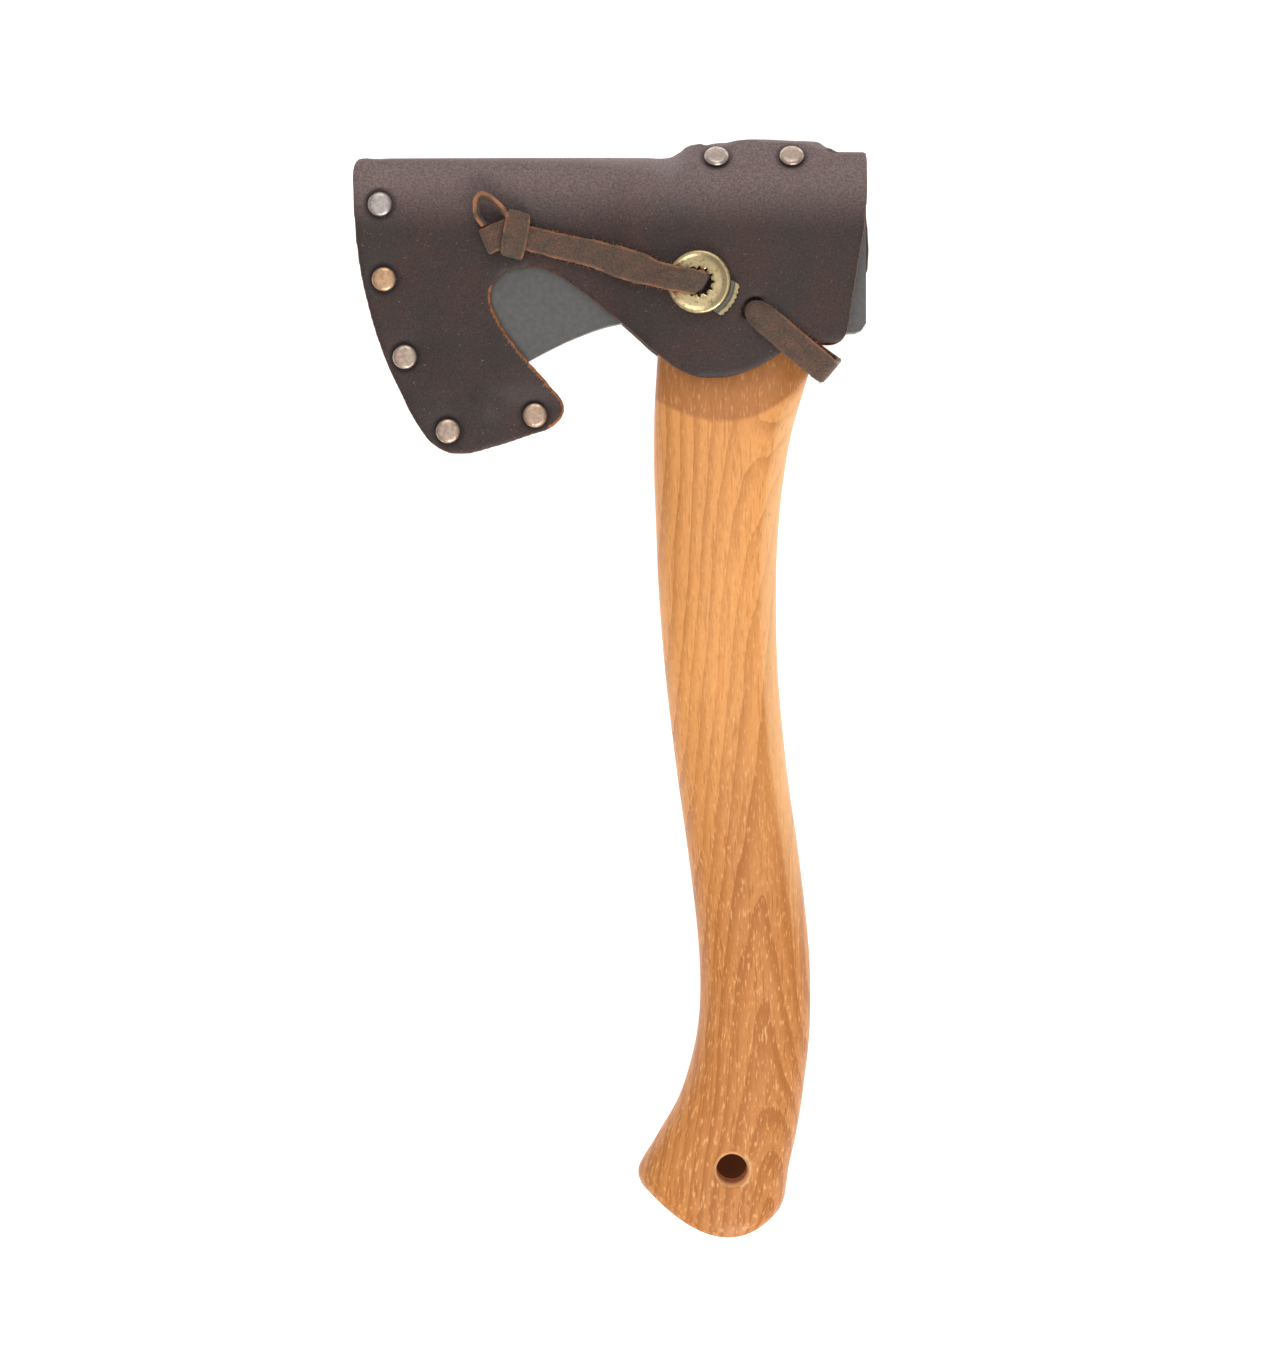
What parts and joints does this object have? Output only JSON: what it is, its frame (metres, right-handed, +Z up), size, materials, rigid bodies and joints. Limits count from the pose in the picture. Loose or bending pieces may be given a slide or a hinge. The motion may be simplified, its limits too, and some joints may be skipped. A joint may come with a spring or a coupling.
{
  "type": "hatchet",
  "caption": "Small forest hatchet with a curved hickory handle, its bearded steel head in a riveted leather sheath held on by a thong round the neck and a brass push lock.",
  "frame": {"origin": "middle of the foot of the part's box as it lies on its side", "axes": "+Y along the handle towards the head, +Z up out of the front of the sheath, +X towards the poll"},
  "size_m": [0.166, 0.35, 0.0425],
  "materials": {
    "forged_steel": "dark forged, dull",
    "spring_steel": "bright wire",
    "hickory": "oiled, satin",
    "wedge_wood": "raw",
    "brown_leather": "waxed, satin",
    "welt_leather": "raw edge",
    "strap_leather": "soft, matt",
    "rivet_nickel": "satin nickel",
    "lock_brass": "pale, worn"
  },
  "bodies": {
    "hatchet": {"axe_head": "forged_steel", "handle": "hickory", "eye_wedge": "wedge_wood", "steel_wedge": "forged_steel"},
    "sheath": {"lock_spring": "spring_steel", "sheath_leather": "brown_leather", "edge_welt": "welt_leather", "neck_thong": "strap_leather", "thong_tail": "strap_leather", "thong_knot": "strap_leather", "lock_base": "lock_brass", "lock_cap": "lock_brass", "lock_washer": "lock_brass", "edge_rivet_1_cap": "rivet_nickel", "edge_rivet_1_pin": "rivet_nickel", "edge_rivet_2_cap": "rivet_nickel", "edge_rivet_2_pin": "rivet_nickel", "edge_rivet_3_cap": "rivet_nickel", "edge_rivet_3_pin": "rivet_nickel", "edge_rivet_4_cap": "rivet_nickel", "edge_rivet_4_pin": "rivet_nickel", "edge_rivet_5_cap": "rivet_nickel", "edge_rivet_5_pin": "rivet_nickel", "lap_rivet_1_cap": "rivet_nickel", "lap_rivet_1_pin": "rivet_nickel", "lap_rivet_2_cap": "rivet_nickel", "lap_rivet_2_pin": "rivet_nickel", "thong_rivet_cap": "rivet_nickel", "thong_rivet_pin": "rivet_nickel"},
    "lock_slider": {"lock_slider": "lock_brass"}
  },
  "joints": [
    {"name": "sheath_slide", "type": "slide", "parent": "hatchet", "child": "sheath", "axis": [-1, 0, 0], "range_m": [0, 0.17], "deforming": ["neck_thong"]},
    {"name": "lock_push", "type": "slide", "parent": "sheath", "child": "lock_slider", "axis": [-0.8553, 0.5073, -0.105], "range_m": [0, 0.0013], "stiffness_N_per_m": 400, "deforming": ["lock_spring"]}
  ]
}
